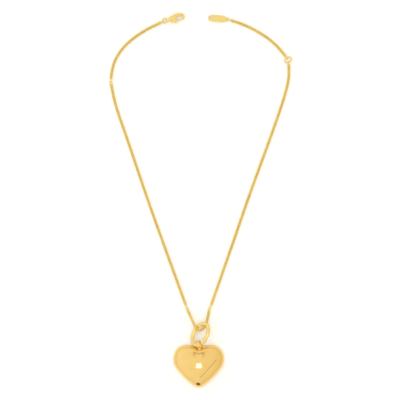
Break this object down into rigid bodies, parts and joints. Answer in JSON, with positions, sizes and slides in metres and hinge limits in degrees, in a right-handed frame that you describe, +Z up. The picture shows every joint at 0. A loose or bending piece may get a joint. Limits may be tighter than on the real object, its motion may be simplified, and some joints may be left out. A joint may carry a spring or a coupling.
{
  "type": "pendant necklace",
  "caption": "Gold heart pendant on an oval ring and a fine curb chain, with a lobster clasp, an adjuster ring and a short extension ending in a pierced tag.",
  "frame": {"origin": "middle of the heart's flat back, on the surface the necklace lies on", "axes": "+Z up out of the heart's domed face, +Y from the heart's tip towards the clasp, +X to the wearer's left as the necklace is looked at from the front"},
  "size_m": [0.1141, 0.2337, 0.0074],
  "materials": {
    "heart_gold": "mirror-polished yellow gold plate",
    "chain_gold": "polished yellow gold plate",
    "findings_gold": "polished yellow gold plate",
    "spring_steel": "bright spring wire"
  },
  "bodies": {
    "middle": {"chain_middle": "chain_gold", "left_lower_link": "chain_gold", "right_lower_link": "chain_gold"},
    "oval_ring": {"oval_ring": "findings_gold"},
    "heart": {"heart_front_shell": "heart_gold", "heart_back_plate": "heart_gold", "heart_bail": "heart_gold"},
    "left_side": {"chain_left": "chain_gold", "left_upper_link": "chain_gold", "shoulder_lower_link": "chain_gold"},
    "left_top": {"chain_left_top": "chain_gold", "shoulder_upper_link": "chain_gold", "clasp_end_link": "chain_gold"},
    "clasp_ring": {"clasp_ring": "findings_gold"},
    "clasp": {"clasp_body": "findings_gold", "clasp_pin": "findings_gold", "clasp_spring": "spring_steel"},
    "clasp_lever": {"clasp_lever": "findings_gold"},
    "right_side": {"chain_right": "chain_gold", "right_upper_link": "chain_gold", "adjuster_lower_link": "chain_gold"},
    "adjuster_ring": {"adjuster_ring": "findings_gold"},
    "extension": {"chain_extension": "chain_gold", "adjuster_upper_link": "chain_gold", "tag_end_link": "chain_gold"},
    "end_tag": {"end_tag": "findings_gold"}
  },
  "joints": [
    {"name": "left_side_swing", "type": "hinge", "parent": "middle", "child": "left_side", "pos_m": [-0.0074, 0.035, 0.001], "axis": [0, 0, 1], "range_deg": [-2, 20]},
    {"name": "left_shoulder_swing", "type": "hinge", "parent": "left_side", "child": "left_top", "pos_m": [-0.0549, 0.176, 0.001], "axis": [0, 0, 1], "range_deg": [-4, 25]},
    {"name": "clasp_ring_swing", "type": "hinge", "parent": "left_top", "child": "clasp_ring", "pos_m": [-0.02256, 0.21377, 0.001], "axis": [0, 0, 1], "range_deg": [-25, 25]},
    {"name": "clasp_swing", "type": "hinge", "parent": "clasp_ring", "child": "clasp", "pos_m": [-0.0212, 0.2144, 0.001], "axis": [0, 0, 1], "range_deg": [-20, 40]},
    {"name": "clasp_lever_open", "type": "hinge", "parent": "clasp", "child": "clasp_lever", "pos_m": [-0.01665, 0.21457, 0.001], "axis": [0, 0, 1], "range_deg": [0, 12], "stiffness_Nm_per_rad": 0.002, "deforming": ["clasp_spring"]},
    {"name": "right_side_swing", "type": "hinge", "parent": "middle", "child": "right_side", "pos_m": [0.007, 0.035, 0.001], "axis": [0, 0, -1], "range_deg": [-2, 20]},
    {"name": "adjuster_ring_swing", "type": "hinge", "parent": "right_side", "child": "adjuster_ring", "pos_m": [0.05602, 0.18825, 0.001], "axis": [0, 0, -1], "range_deg": [-15, 15]},
    {"name": "extension_swing", "type": "hinge", "parent": "adjuster_ring", "child": "extension", "pos_m": [0.05478, 0.19117, 0.001], "axis": [0, 0, -1], "range_deg": [-5, 25]},
    {"name": "end_tag_swing", "type": "hinge", "parent": "extension", "child": "end_tag", "pos_m": [0.0182, 0.2152, 0.001], "axis": [0, 0, -1], "range_deg": [-20, 30]},
    {"name": "oval_ring_swing", "type": "hinge", "parent": "middle", "child": "oval_ring", "pos_m": [0.0008, 0.0226, 0.0026], "axis": [-0.621, -0.7011, 0.3505], "range_deg": [-5, 40]},
    {"name": "heart_swing", "type": "hinge", "parent": "oval_ring", "child": "heart", "pos_m": [0.00042, 0.01275, 0.00393], "axis": [-0.884, -0.4087, -0.2269], "range_deg": [-30, 60]}
  ]
}
